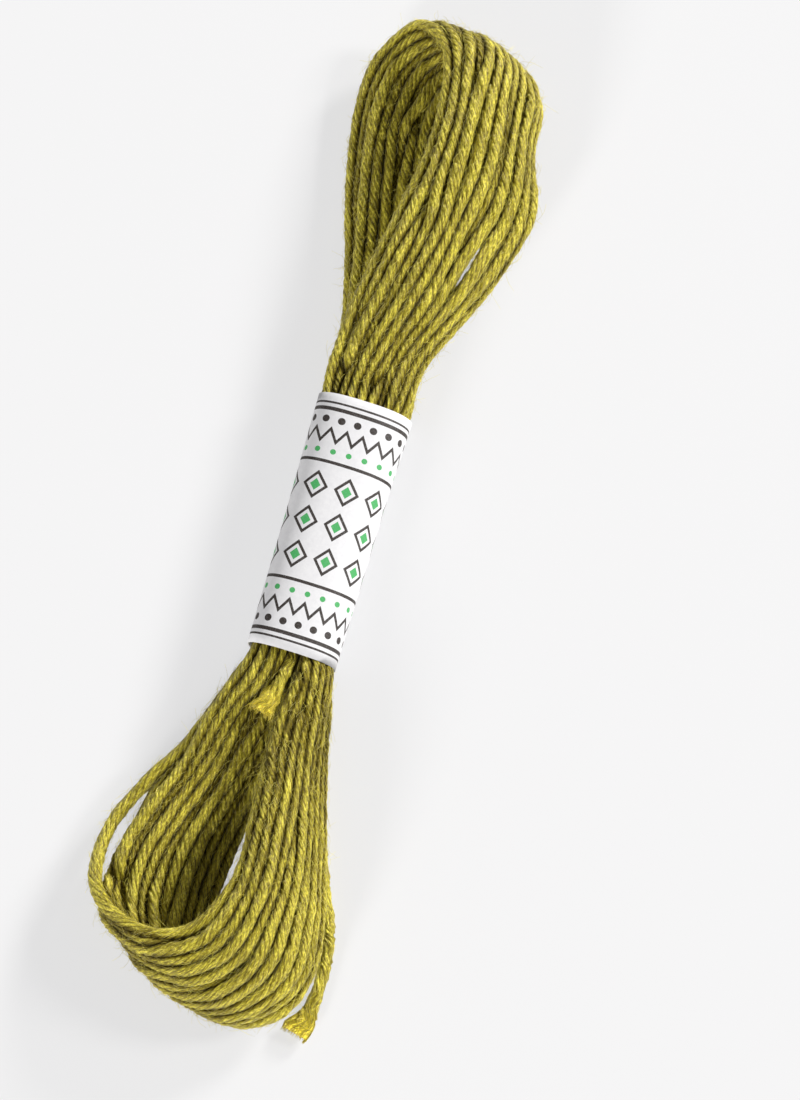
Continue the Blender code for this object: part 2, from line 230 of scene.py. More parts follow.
# Camera: the photograph looks down at the skein from its foot end, which leans to the left in the picture
CAMERA_LEAN = math.radians(16.6)
CAMERA_ELEVATION = math.radians(78.0)
CAMERA_LENS = 100.0
CAMERA_SENSOR = 36.0
PICTURE_WIDTH, PICTURE_HEIGHT = 800, 1100
MM_A_PIXEL = 0.093
BAND_PIXEL = (330.2, 533.0)  # where the middle of the band shows
BAND_MIDDLE = np.array([0.0, 0.0, 3.0])
AHEAD = np.array([-math.sin(CAMERA_LEAN), math.cos(CAMERA_LEAN), 0.0])
SIGHT = AHEAD * math.cos(CAMERA_ELEVATION) - UP * math.sin(CAMERA_ELEVATION)

# Lights and floor, in metres: round soft lights, each shining from a direction in the layout's axes
LIGHT_DISTANCE = 2.0
LIGHT_SIZE = 0.45
LIGHT_COLOUR = (1.0, 0.985, 0.96)
Light = namedtuple("Light", "name direction power")
LIGHTS = [
    Light("key", (0.90, 0.50, 0.62), 25.5),
    Light("front", (-0.30, -1.0, 0.37), 37.0),
    Light("back", (0.60, 1.0, 0.46), 42.0),
]
WORLD_LIGHT = 0.22
FLOOR_SIZE = 3.0
FLOOR_PLACE = (0.0, 0.0, -0.0001)
FLOOR_COLOUR = (0.80, 0.80, 0.81, 1.0)
FLOOR_GLOW = (0.884, 0.884, 0.893, 1.0)
SHADOW_LIFT = 0.70  # share of the glow in what the camera sees of the floor


def to_world(points):
    return (np.asarray(points, dtype=float) + SHIFT) * MM


# ---------------- camera, floor and light

def make_camera():
    right = np.array([math.cos(CAMERA_LEAN), math.sin(CAMERA_LEAN), 0.0])
    up = AHEAD * math.sin(CAMERA_ELEVATION) + UP * math.cos(CAMERA_ELEVATION)
    distance = CAMERA_LENS / CAMERA_SENSOR * PICTURE_HEIGHT * MM_A_PIXEL
    target = BAND_MIDDLE + right * (PICTURE_WIDTH / 2 - BAND_PIXEL[0]) * MM_A_PIXEL
    target = target - up * (PICTURE_HEIGHT / 2 - BAND_PIXEL[1]) * MM_A_PIXEL
    data = bpy.data.cameras.new("camera")
    data.lens = CAMERA_LENS
    data.sensor_width = CAMERA_SENSOR
    data.clip_start = 0.01
    camera = bpy.data.objects.new("camera", data)
    camera.matrix_world = Matrix((right, up, -SIGHT)).transposed().to_4x4()
    camera.location = Vector(to_world(target - SIGHT * distance))
    bpy.context.scene.collection.objects.link(camera)
    bpy.context.scene.camera = camera


def make_light(light):
    data = bpy.data.lights.new(light.name, "AREA")
    data.shape = "DISK"
    data.size = LIGHT_SIZE
    data.energy = light.power
    data.color = LIGHT_COLOUR
    made = bpy.data.objects.new(light.name, data)
    place = Vector(light.direction).normalized() * LIGHT_DISTANCE
    made.location = place
    made.rotation_euler = place.to_track_quat("Z", "Y").to_euler()
    bpy.context.scene.collection.objects.link(made)


def make_surroundings():
    world = bpy.data.worlds.new("studio")
    world.use_nodes = True
    background = world.node_tree.nodes["Background"]
    background.inputs["Color"].default_value = (1.0, 1.0, 1.0, 1.0)
    background.inputs["Strength"].default_value = WORLD_LIGHT
    bpy.context.scene.world = world
    for light in LIGHTS:
        make_light(light)
    bpy.context.scene.view_settings.view_transform = "Standard"
    bpy.ops.mesh.primitive_plane_add(size=FLOOR_SIZE, location=FLOOR_PLACE)
    floor = bpy.context.object
    floor.name = "floor"
    floor.data.materials.append(floor_material())


# ---------------- shader helpers

class Shader:
    """A node material under construction."""

    def __init__(self, name):
        self.material = bpy.data.materials.new(name)
        self.material.use_nodes = True
        self.tree = self.material.node_tree
        self.principled = self.tree.nodes["Principled BSDF"]

    def set(self, **values):
        for socket, value in values.items():
            self.principled.inputs[socket.replace("_", " ")].default_value = value

    def node(self, kind, **settings):
        made = self.tree.nodes.new(kind)
        for key, value in settings.items():
            setattr(made, key, value)
        return made

    def link(self, source, target):
        self.tree.links.new(source, target)

    def drive(self, socket, source):
        self.link(source, self.principled.inputs[socket])

    def feed(self, socket, value):
        if isinstance(value, (int, float, tuple)):
            socket.default_value = value
        else:
            self.link(value, socket)

    def output(self, kind, inputs, **settings):
        """The first output of a new node, whose inputs are fed by name or number."""
        made = self.node(kind, **settings)
        for socket, value in inputs.items():
            self.feed(made.inputs[socket], value)
        return made.outputs[0]

    def math(self, operation, first, second=0.0, third=0.0, clamp=False):
        inputs = {0: first, 1: second, 2: third}
        return self.output("ShaderNodeMath", inputs, operation=operation, use_clamp=clamp)

    def times(self, first, second):
        return self.math("MULTIPLY", first, second)

    def plus(self, first, second):
        return self.math("ADD", first, second)

    def minus(self, first, second):
        return self.math("SUBTRACT", first, second)

    def vector(self, x, y, z):
        return self.output("ShaderNodeCombineXYZ", {0: x, 1: y, 2: z})

    def uv(self):
        made = self.node("ShaderNodeSeparateXYZ")
        self.link(self.node("ShaderNodeUVMap", uv_map="UVMap").outputs[0], made.inputs[0])
        return made.outputs[0], made.outputs[1]

    def noise(self, vector, scale, detail=2.0, roughness=0.5):
        inputs = {"Vector": vector, "Scale": scale, "Detail": detail, "Roughness": roughness}
        return self.output("ShaderNodeTexNoise", inputs)

    def ramp(self, factor, *stops):
        made = self.node("ShaderNodeValToRGB")
        elements = made.color_ramp.elements
        while len(elements) < len(stops):
            elements.new(0.5)
        for element, (place, colour) in zip(elements, stops):
            element.position = place
            element.color = (*colour, 1.0)
        self.link(factor, made.inputs[0])
        return made.outputs[0]

    def mix(self, factor, first, second, blend="MIX"):
        made = self.node("ShaderNodeMix", data_type="RGBA", blend_type=blend)
        self.feed(made.inputs["Factor"], factor)
        for socket, value in ((made.inputs[6], first), (made.inputs[7], second)):
            self.feed(socket, (*value, 1.0) if isinstance(value, tuple) and len(value) == 3 else value)
        return made.outputs[2]

    def bump(self, height, strength, distance):
        inputs = {"Height": height, "Strength": strength, "Distance": distance}
        self.drive("Normal", self.output("ShaderNodeBump", inputs))


def floor_material():
    """A white table; what the camera sees of it is lifted, so that its shadows stay faint."""
    shader = Shader("floor")
    shader.set(Base_Color=FLOOR_COLOUR, Roughness=0.8)
    glow = shader.output("ShaderNodeEmission", {"Color": FLOOR_GLOW})
    seen = shader.node("ShaderNodeLightPath").outputs["Is Camera Ray"]
    share = shader.times(seen, SHADOW_LIFT)
    lifted = shader.output("ShaderNodeMixShader", {0: share, 1: shader.principled.outputs[0], 2: glow})
    shader.link(lifted, shader.tree.nodes["Material Output"].inputs["Surface"])
    return shader.material


# Silk, dark to light (linear)
SILK_DARK = (0.17, 0.137, 0.007)
SILK_MIDDLE = (0.385, 0.318, 0.016)
SILK_LIGHT = (0.98, 0.87, 0.10)
SILK_TONES = ((0.39, SILK_DARK), (0.49, SILK_MIDDLE), (0.585, SILK_LIGHT))
FIBRE_SLANT = 0.09  # how the fibres cross the plies, in turns a millimetre
Streaks = namedtuple("Streaks", "along around detail roughness")  # steps a millimetre, and a turn
FINE_STREAKS = Streaks(3.0, 38.0, 3.0, 0.66)
COARSE_STREAKS = Streaks(0.9, 15.0, 2.0, 0.6)
PATCHES = Streaks(0.25, 3.0, 2.0, 0.6)
FINE_SHARE, COARSE_SHARE = 0.74, 0.26
STREAK_SHARE, PATCH_SHARE = 0.76, 0.24
GROOVE_UNEVENNESS = 2.0
# Painted shade: the silk's colour darkens towards the grooves between its plies
GROOVE_SHADE = ((0.0, (0.40, 0.36, 0.26)), (0.6, (1.0, 1.0, 1.0)))
# Painted shade and painted light: the silk's colour is darkened down in the valleys between threads, and
# lifted above its own tone on the frayed brushes at the cuts
VALLEY_SHADE_AND_BRUSH_LIGHT = (  # places in shares of FRAYED
    (0.0, (0.05, 0.04, 0.02)), (0.19, (0.36, 0.325, 0.22)), (0.47, (1.0, 1.0, 1.0)), (0.5, (1.0, 1.0, 1.0)),
    (1.0, (2.1, 2.0, 1.7)),
)
VALLEY_GLOSS = 0.03  # specular level at the bottom of a valley; it rises to 1 in the open
SILK_RELIEF = 0.00024  # metres
HAIR_NOISE = 900.0  # steps a metre


def silk_material():
    """Olive silk: fine streaks along the plies, with painted shade in the grooves and in the valleys between
    threads, and painted light on the frayed brushes.
    """
    shader = Shader("silk")
    along, around = shader.uv()
    slanted = shader.math("MULTIPLY_ADD", along, -FIBRE_SLANT, around)

    def streaked(across, pattern):
        length = shader.times(along, pattern.along)
        place = shader.vector(length, shader.times(across, pattern.around), 0.0)
        return shader.noise(place, 1.0, pattern.detail, pattern.roughness)

    def blended(first, first_share, second, second_share):
        first_part = shader.times(first, first_share)
        return shader.plus(first_part, shader.times(second, second_share))

    fine = streaked(slanted, FINE_STREAKS)
    coarse = streaked(slanted, COARSE_STREAKS)
    streaks = blended(fine, FINE_SHARE, coarse, COARSE_SHARE)
    tone = blended(streaks, STREAK_SHARE, streaked(around, PATCHES), PATCH_SHARE)
    colour = shader.ramp(tone, *SILK_TONES)
    # Painted shade in the ply grooves, made uneven by the coarse streaks
    ply = shader.math("FRACT", shader.times(around, PLIES))
    crest = shader.math("SINE", shader.times(ply, math.pi))
    unevenness = shader.times(shader.minus(coarse, 0.5), GROOVE_UNEVENNESS)
    groove_painted_shade = shader.ramp(shader.plus(crest, unevenness), *GROOVE_SHADE)
    colour = shader.mix(1.0, colour, groove_painted_shade, "MULTIPLY")
    # Painted shade from the valley attribute, darker where threads lie close, and painted light on the frayed
    # brushes
    valley = shader.node("ShaderNodeAttribute", attribute_name="valley").outputs["Fac"]
    painted_shade_and_light = shader.ramp(shader.times(valley, 1 / FRAYED), *VALLEY_SHADE_AND_BRUSH_LIGHT)
    colour = shader.mix(1.0, colour, painted_shade_and_light, "MULTIPLY")
    shader.drive("Base Color", colour)
    shader.set(Roughness=0.29, Anisotropic=0.55, IOR=1.55, Specular_Tint=(1.0, 0.88, 0.40, 1.0))
    shader.set(Sheen_Weight=0.25, Sheen_Roughness=0.35, Sheen_Tint=(1.0, 0.9, 0.4, 1.0))
    # The level set here counts only where the link isn't followed; the linked one varies over the surface
    shader.set(Specular_IOR_Level=0.85)
    gloss = shader.math("MULTIPLY_ADD", valley, 1.0, VALLEY_GLOSS, clamp=True)
    shader.drive("Specular IOR Level", gloss)
    tangent = shader.node("ShaderNodeTangent", direction_type="UV_MAP", uv_map="UVMap")
    shader.drive("Tangent", tangent.outputs[0])
    shader.bump(streaks, 1.0, SILK_RELIEF)
    return shader.material


def fibre_material():
    """The silk of the fine hairs that stand off the threads."""
    shader = Shader("silk_fibre")
    place = shader.node("ShaderNodeTexCoord").outputs["Object"]
    tone = shader.noise(place, HAIR_NOISE, 1.0)
    colour = shader.ramp(tone, (0.3, SILK_MIDDLE), (0.7, SILK_LIGHT))
    shader.drive("Base Color", colour)
    shader.set(Roughness=0.4, Sheen_Weight=0.3)
    return shader.material


# The print: rows of plain shapes across the band, the same above and below its middle (millimetres)
INK = (0.026, 0.019, 0.016)
GREEN_INK = (0.05, 0.36, 0.10)
RULES = [(11.35, 0.20), (10.75, 0.36), (5.75, 0.30)]  # place, width
DOT_PITCH = 1.45
DOTS = [(9.75, 0.34), (6.75, 0.26)]  # place, radius
ZIGZAG_PLACE = 8.25
ZIGZAG_RISE = 0.60
ZIGZAG_LINE = 0.48
LOZENGE_WIDE, LOZENGE_LONG = 2.9, 3.4
LOZENGE_RING = (0.70, 0.115)  # place and half width, in half lozenges
LOZENGE_HEART = 0.34
LOZENGES_END = 5.1
PAPER_TONES = ((0.3, (0.65, 0.65, 0.675)), (0.7, (0.71, 0.71, 0.73)))
PAPER_NOISE = 2500.0  # steps a metre
PAPER_RELIEF = 0.00005  # metres
INK_NOISE = 6000.0  # steps a metre
INK_COVER = (0.30, 0.84)  # how unevenly the ink covers, and the least


def paper_material():
    """White paper with a generic print: rules, rows of dots, zigzags and lozenges with green hearts."""
    shader = Shader("paper")
    around, along = shader.uv()
    place = shader.node("ShaderNodeTexCoord").outputs["Object"]
    fibres = shader.noise(place, PAPER_NOISE, 3.0, 0.7)
    colour = shader.ramp(fibres, *PAPER_TONES)
    side = shader.math("ABSOLUTE", along)

    def from_tile_middle(value, pitch):
        tile = shader.minus(shader.math("FRACT", shader.math("DIVIDE", value, pitch)), 0.5)
        return shader.times(shader.math("ABSOLUTE", tile), pitch)

    def line(value, width):
        return shader.math("LESS_THAN", shader.math("ABSOLUTE", value), width / 2)

    def squared(value):
        return shader.math("POWER", shader.math("ABSOLUTE", value), 2.0)

    def row_of_dots(row, radius):
        distance = shader.plus(squared(shader.minus(side, row)), squared(from_tile_middle(around, DOT_PITCH)))
        return shader.math("LESS_THAN", distance, radius ** 2)

    def join(shapes):
        joined = shapes[0]
        for shape in shapes[1:]:
            joined = shader.math("MAXIMUM", joined, shape)
        return joined

    slope = 4 * ZIGZAG_RISE / DOT_PITCH
    zigzag = shader.math("MULTIPLY_ADD", from_tile_middle(around, DOT_PITCH), slope, -ZIGZAG_RISE)
    zigzag = line(shader.minus(shader.minus(side, ZIGZAG_PLACE), zigzag), ZIGZAG_LINE)
    across = shader.times(from_tile_middle(around, LOZENGE_WIDE), 2 / LOZENGE_WIDE)
    down = from_tile_middle(shader.minus(along, LOZENGE_LONG / 2), LOZENGE_LONG)
    down = shader.times(down, 2 / LOZENGE_LONG)
    spread = shader.plus(across, down)
    inside = shader.math("LESS_THAN", side, LOZENGES_END)
    ring = shader.times(line(shader.minus(spread, LOZENGE_RING[0]), 2 * LOZENGE_RING[1]), inside)
    heart = shader.times(shader.math("LESS_THAN", spread, LOZENGE_HEART), inside)
    rules = [line(shader.minus(side, row), width) for row, width in RULES]
    black = join(rules + [zigzag, ring, row_of_dots(*DOTS[0])])
    green = join([heart, row_of_dots(*DOTS[1])])
    worn = shader.math("MULTIPLY_ADD", shader.noise(place, INK_NOISE, 2.0), *INK_COVER, clamp=True)
    colour = shader.mix(shader.times(black, worn), colour, INK)
    colour = shader.mix(shader.times(green, worn), colour, GREEN_INK)
    shader.drive("Base Color", colour)
    shader.set(Roughness=0.62)
    shader.bump(fibres, 0.15, PAPER_RELIEF)
    return shader.material


# ---------------- the turns' centre lines

ROWS = np.array([[row.first, row.middle, row.last] for row in SECTIONS], dtype=float)
THICK = np.array([row.thick for row in SECTIONS])


def hank_point(s, v):
    """Points of the hank's middle surface: s in rows round the hank, v from 0 to 1 across it."""
    i = np.floor(s).astype(int)
    t = (s - i)[:, None]
    weights = np.stack([(1 - v) * (1 - 2 * v), 4 * v * (1 - v), v * (2 * v - 1)], axis=1)
    p0, p1, p2, p3 = [np.einsum("nk,nkc->nc", weights, ROWS[(i + k) % len(ROWS)]) for k in (-1, 0, 1, 2)]

    def knot(a, b):
        return np.sqrt(np.linalg.norm(b - a, axis=1))[:, None]

    k1 = knot(p0, p1)
    k2 = k1 + knot(p1, p2)
    k3 = k2 + knot(p2, p3)
    k = k1 + (k2 - k1) * t
    a1 = p0 + (p1 - p0) * k / k1
    a2 = p1 + (p2 - p1) * (k - k1) / (k2 - k1)
    a3 = p2 + (p3 - p2) * (k - k2) / (k3 - k2)
    b1 = a1 + (a2 - a1) * k / k2
    b2 = a2 + (a3 - a2) * (k - k1) / (k3 - k1)
    return b1 + (b2 - b1) * (k - k1) / (k2 - k1)


def hank_along(s, v):
    return hank_point((s + ROW_STEP) % len(ROWS), v) - hank_point((s - ROW_STEP) % len(ROWS), v)


def hank_across(s, v):
    return hank_point(s, v + PLACE_STEP) - hank_point(s, v - PLACE_STEP)


def hank_normal(s, v):
    return unit(np.cross(hank_along(s, v), hank_across(s, v)))


def hank_thickness(s):
    return np.interp(s, np.arange(len(ROWS) + 1), np.append(THICK, THICK[0]))


def unit(vectors):
    return vectors / np.maximum(np.linalg.norm(vectors, axis=-1, keepdims=True), NO_LENGTH)


def eased(t):
    """From 0 to 1 without a kink at either end."""
    t = np.clip(t, 0.0, 1.0)
    return t * t * (3 - 2 * t)


def tree_of(points):
    tree = KDTree(len(points))
    for index, point in enumerate(points):
        tree.insert(point, index)
    tree.balance()
    return tree


def walked_along(line):
    """How far along a line each of its points lies."""
    return np.concatenate([[0.0], np.cumsum(np.linalg.norm(np.diff(line, axis=0), axis=1))])


def whole_line(points, closed):
    return np.vstack([points, points[:1]]) if closed else points


def even_points(points, count, closed):
    """The line resampled at even steps."""
    line = whole_line(points, closed)
    walked = walked_along(line[:, :3])
    places = np.linspace(0.0, walked[-1], count, endpoint=not closed)
    return np.stack([np.interp(places, walked, column) for column in line.T], axis=1)


def wander(rng, s, size):
    """A smooth random walk round the hank."""
    turn = 2 * math.pi * s / len(ROWS)
    total = np.zeros_like(s)
    for wave in WANDER_WAVES:
        total += rng.normal() * np.sin(wave * turn + rng.uniform(0, 2 * math.pi)) / wave
    return total * size


def sight_slope(s, v):
    """How far a line of sight moves across the hank for each millimetre that it climbs out of it."""
    place = np.full_like(s, v)
    sideways = unit(hank_across(s, place)) @ SIGHT
    outward = hank_normal(s, place) @ SIGHT
    return np.clip(sideways / np.minimum(outward, -LEAST_FACING), -STEEPEST_SIGHT, STEEPEST_SIGHT)


def side_limits(turn, s, height):
    """The least and greatest place across the hank that a turn may have, at places round it.

    The camera sees through the gaps, so a turn deeper in the hank keeps out of the way too.
    """
    least, most = np.zeros_like(s), np.ones_like(s)
    for gap in GAPS:
        away = (s - gap.row + len(ROWS) / 2) % len(ROWS) - len(ROWS) / 2
        middle = gap.v + sight_slope(s, gap.v) * height / HANK_WIDTH
        half = (gap.opening / 2 + THREAD_RADIUS) / HANK_WIDTH
        closing = GAP_CURVE * away ** 2
        if turn < gap.turns_before:
            most = np.minimum(most, np.maximum(middle - half, 0.0) + closing)
        else:
            least = np.maximum(least, np.minimum(middle + half, 1.0) - closing)
    return least, np.maximum(most, least)


def averaged(values, reach):
    """A running average round a closed turn."""
    total = sum(np.roll(values, shift) for shift in range(-reach, reach + 1))
    return total / (2 * reach + 1)


def height_limits(s, v):
    """How low and how high over the hank's middle surface the centre of a turn may lie."""
    thick = hank_thickness(s)
    level = hank_normal(s, v)[:, 2] ** 2
    thinner = 1 - (2 * v - 1) ** 4
    lowest = (-thick / 2 - RIM_ROOM - (INNER_ROOM - RIM_ROOM) * level) * thinner
    return lowest, (thick / 2 + OUTER_ROOM) * thinner


def laid_turns(rng):
    """Each turn's first line, with its places in the hank and its heights over the middle surface."""
    laid = []
    s = np.linspace(0, len(ROWS), LAYING_DETAIL * POINTS_A_TURN, endpoint=False)
    reach = round(GAP_SMOOTHING * len(s) / len(ROWS))
    thick = hank_thickness(s)
    for turn in range(TURNS):
        at_side = turn in (0, TURNS - 1)
        loose = 0.0 if at_side else 1.0
        off_place = rng.uniform(-PLACE_JITTER, PLACE_JITTER) / TURNS + wander(rng, s, PLACE_WANDER)
        v = turn / (TURNS - 1) + loose * off_place
        layer = SIDE_LAYER if at_side else LAYERS[turn % len(LAYERS)]
        height = thick * layer + loose * wander(rng, s, HEIGHT_WANDER)
        height = averaged(np.maximum(height, height_limits(s, np.clip(v, 0.0, 1.0))[0]), reach)
        v = averaged(np.clip(v, *side_limits(turn, s, height)), reach)
        line = hank_point(s, v) + hank_normal(s, v) * height[:, None]
        laid.append(even_points(np.column_stack([line, s, v, height]), POINTS_A_TURN, True))
    laid = np.array(laid)
    return laid[..., :3], laid[..., 3:5].reshape(-1, 2), laid[..., 5].ravel()


def out_of_band(y):
    """0 in the band and 1 well out of it."""
    return eased((np.abs(y) - SQUEEZE_FADE[0]) / (SQUEEZE_FADE[1] - SQUEEZE_FADE[0]))


def thread_radius(y):
    return BAND_THREAD_RADIUS + (THREAD_RADIUS - BAND_THREAD_RADIUS) * out_of_band(y)


def thread_contact(y):
    return BAND_CONTACT + (CONTACT - BAND_CONTACT) * out_of_band(y)


def band_shape(y):
    """The band's middle x and half width at each y."""
    places, middles, half_widths = zip(*BAND_PLACES)
    return np.interp(y, places, middles), np.interp(y, places, half_widths)


def keep_in_band(points, radius):
    """Draws points inside the paper, where they are within its length."""
    middle, half_width = band_shape(points[:, 1])
    half_height = (BAND_HEIGHT + BAND_FLAT_CUT) / 2
    room = PAPER + radius
    dx = points[:, 0] - middle
    centre = half_height - BAND_FLAT_CUT - BAND_LEAN * dx
    dz = points[:, 2] - centre
    reach = np.abs(dx / (half_width - room)) ** BAND_SQUARENESS
    reach = reach + np.abs(dz / (half_height - room)) ** BAND_SQUARENESS
    shrink = 1 / np.maximum(reach, 1.0) ** (1 / BAND_SQUARENESS)
    inside = np.abs(points[:, 1]) < BAND_LENGTH / 2 + BAND_SPARE
    points[inside, 0] = (middle + dx * shrink)[inside]
    points[inside, 2] = (half_height - BAND_FLAT_CUT - BAND_LEAN * dx * shrink + dz * shrink)[inside]
    points[inside, 2] = np.maximum(points[inside, 2], room[inside])


def close_pairs(points, owner, order, reach):
    """Pairs of points of different threads, or far along the same one, within reach."""
    tree = tree_of(points)
    first, second = [], []
    for index, point in enumerate(points):
        for _, other, _ in tree.find_range(point, reach):
            if other > index:
                first.append(index)
                second.append(other)
    first, second = np.array(first), np.array(second)
    apart = np.abs(order[first] - order[second])
    apart = np.minimum(apart, POINTS_A_TURN - apart)
    keep = (owner[first] != owner[second]) | (apart > SAME_THREAD_APART)
    return first[keep], second[keep]


def hank_limits(places, heights, rng):
    """For each point: the ways across, out of and along the hank, and how far it may go each way."""
    s, v = places[:, 0] % len(ROWS), places[:, 1]
    spans = [slice(turn * POINTS_A_TURN, (turn + 1) * POINTS_A_TURN) for turn in range(TURNS)]
    bounds = [side_limits(turn, s[span], heights[span]) for turn, span in enumerate(spans)]
    least, most = [np.concatenate(side) for side in zip(*bounds)]
    width = np.linalg.norm(hank_point(s, np.ones_like(s)) - hank_point(s, np.zeros_like(s)), axis=1)
    slanting = unit(hank_across(s, v))
    along = unit(hank_along(s, v))
    out = hank_normal(s, v)
    across = unit(np.cross(out, along))
    across = across * np.sign(np.sum(across * slanting, axis=1, keepdims=True))
    square_width = width * np.sum(across * slanting, axis=1)
    lowest, highest = height_limits(s, v)
    proud = np.repeat(rng.uniform(0.0, PROUD, TURNS), POINTS_A_TURN) * out[:, 2] ** 2 * (out[:, 2] > 0)
    highest = highest + proud * (1 - (2 * v - 1) ** 4)
    return [
        (across, (least - v) * square_width - OUTLINE_SPARE, (most - v) * square_width + OUTLINE_SPARE),
        (out, lowest - heights, highest - heights),
        (along, np.zeros_like(s), np.zeros_like(s)),
    ]


def settled(turns, places, heights, fixed, rng):
    """The turns pushed apart until they lie on each other, on the table and in the band."""
    shape = turns.shape
    laid = turns.reshape(-1, 3)
    limits = hank_limits(places, heights, rng)
    movable = len(laid)
    points = np.vstack([laid] + fixed)
    owner = [np.repeat(np.arange(shape[0]), shape[1])]
    order = [np.tile(np.arange(shape[1]), shape[0])]
    for number, line in enumerate(fixed, shape[0]):
        owner.append(np.full(len(line), number))
        order.append(np.arange(len(line)))
    owner, order = np.concatenate(owner), np.concatenate(order)
    for step in range(SETTLE_STEPS):
        radius = thread_radius(points[:, 1])
        contact = thread_contact(points[:, 1])
        if step % STEPS_A_SEARCH == 0:
            first, second = close_pairs(points, owner, order, 2 * THREAD_RADIUS + SEARCH_ROOM)
        gap = points[first] - points[second]
        distance = np.maximum(np.linalg.norm(gap, axis=1), LEAST_DISTANCE)
        touch = radius[first] * contact[first] + radius[second] * contact[second]
        overlap = np.maximum(touch - distance, 0.0)
        push = gap / distance[:, None] * overlap[:, None] / 2
        move = np.zeros_like(points)
        touching = np.zeros(len(points))
        np.add.at(move, first, push)
        np.add.at(move, second, -push)
        np.add.at(touching, first, overlap > 0)
        np.add.at(touching, second, overlap > 0)
        points[:movable] += (move / np.maximum(touching, 1.0)[:, None] ** CROWDING)[:movable]
        drift = (points[:movable] - laid).reshape(shape)
        smooth = (np.roll(drift, 1, axis=1) + np.roll(drift, -1, axis=1)) / 2
        drift = (drift + (smooth - drift) * STIFFNESS).reshape(-1, 3) * SPRING_BACK
        for direction, low, high in limits:
            went = np.einsum("nc,nc->n", drift, direction)
            drift += direction * (np.clip(went, np.minimum(low, 0), np.maximum(high, 0)) - went)[:, None]
        points[:movable] = laid + drift
        turning = points[:movable]
        keep_in_band(turning, radius[:movable])
        turning[:, 2] = np.maximum(turning[:, 2], radius[:movable] * TABLE_CONTACT)
    return points[:movable].reshape(shape)


# ---------------- meshes of thread

def smooth_line(points, count, closed):
    """Catmull-Rom through the points, at count even steps."""
    n = len(points)
    if closed:
        around = points[(np.arange(-1, n + 2)) % n]
        spans = n
    else:
        around = np.vstack([2 * points[0] - points[1], points, 2 * points[-1] - points[-2]])
        spans = n - 1
    fine = np.linspace(0, spans, FINE_STEPS * count, endpoint=not closed)
    i = np.minimum(np.floor(fine).astype(int), spans - 1)
    t = (fine - i)[:, None]
    p0, p1, p2, p3 = around[i], around[i + 1], around[i + 2], around[i + 3]
    bend = (2 * p0 - 5 * p1 + 4 * p2 - p3) * t ** 2
    curve = 0.5 * (2 * p1 + (p2 - p0) * t + bend + (3 * p1 - p0 - 3 * p2 + p3) * t ** 3)
    return even_points(curve, count, closed)


def carried_frames(line, closed):
    """A normal and a binormal at each point, carried along without turning."""
    if closed:
        tangents = unit(np.roll(line, -1, axis=0) - np.roll(line, 1, axis=0))
    else:
        tangents = unit(np.gradient(line, axis=0))
    normal = unit(np.cross(tangents[0], UP + 0.1))
    normals = []
    for tangent in tangents:
        normal = unit(normal - tangent * normal.dot(tangent))
        normals.append(normal)
    normals = np.array(normals)
    return tangents, normals, np.cross(tangents, normals)


def new_object(name, points, faces, uvs, material):
    """A smooth object of points in millimetres, with a UV pair for each corner of each face."""
    mesh = bpy.data.meshes.new(name)
    mesh.from_pydata(to_world(points).tolist(), [], faces)
    layer = mesh.uv_layers.new(name="UVMap")
    layer.data.foreach_set("uv", np.array(uvs, dtype=np.float32).ravel())
    mesh.shade_smooth()
    mesh.materials.append(material)
    made = bpy.data.objects.new(name, mesh)
    bpy.context.scene.collection.objects.link(made)
    return made


class ThreadMesh:
    """Collects threads and makes one object of them."""

    def __init__(self):
        self.points, self.faces, self.uvs, self.valleys = [], [], [], []
        self.caps, self.cap_uvs = [], []
        self.count = 0

    def add(self, rings, lengths, closed, valley):
        """rings: rings x sides x 3; lengths: how far along each ring is, in millimetres."""
        number, sides = rings.shape[:2]
        self.points.append(rings.reshape(-1, 3))
        self.valleys.append(valley.ravel())
        spans = number if closed else number - 1
        grids = np.meshgrid(np.arange(spans), np.arange(sides), indexing="ij")
        i, k = [grid.ravel() for grid in grids]
        after, beside = (i + 1) % number, (k + 1) % sides
        quads = [i * sides + k, i * sides + beside, after * sides + beside, after * sides + k]
        self.faces.append(np.stack(quads, axis=1) + self.count)
        start, end = lengths[i], lengths[i + 1]
        around, beyond = k / sides, (k + 1) / sides
        uv = np.stack([start, around, start, beyond, end, beyond, end, around], axis=1)
        self.uvs.append(uv.reshape(-1, 2))
        if not closed:
            for ring, turn_back in ((0, -1), (number - 1, 1)):
                self.caps.append((np.arange(sides)[::turn_back] + ring * sides + self.count).tolist())
                self.cap_uvs += [(lengths[ring], k / sides) for k in range(sides)][::turn_back]
        self.count += number * sides

    def build(self, name, material):
        faces = np.vstack(self.faces).tolist() + self.caps
        uvs = np.vstack(self.uvs + [np.reshape(self.cap_uvs, (-1, 2))])
        made = new_object(name, np.vstack(self.points), faces, uvs, material)
        painted_shade_and_light = made.data.attributes.new("valley", "FLOAT", "POINT")
        painted_shade_and_light.data.foreach_set("value", np.concatenate(self.valleys).astype(np.float32))
        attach(made, "root")
        return made


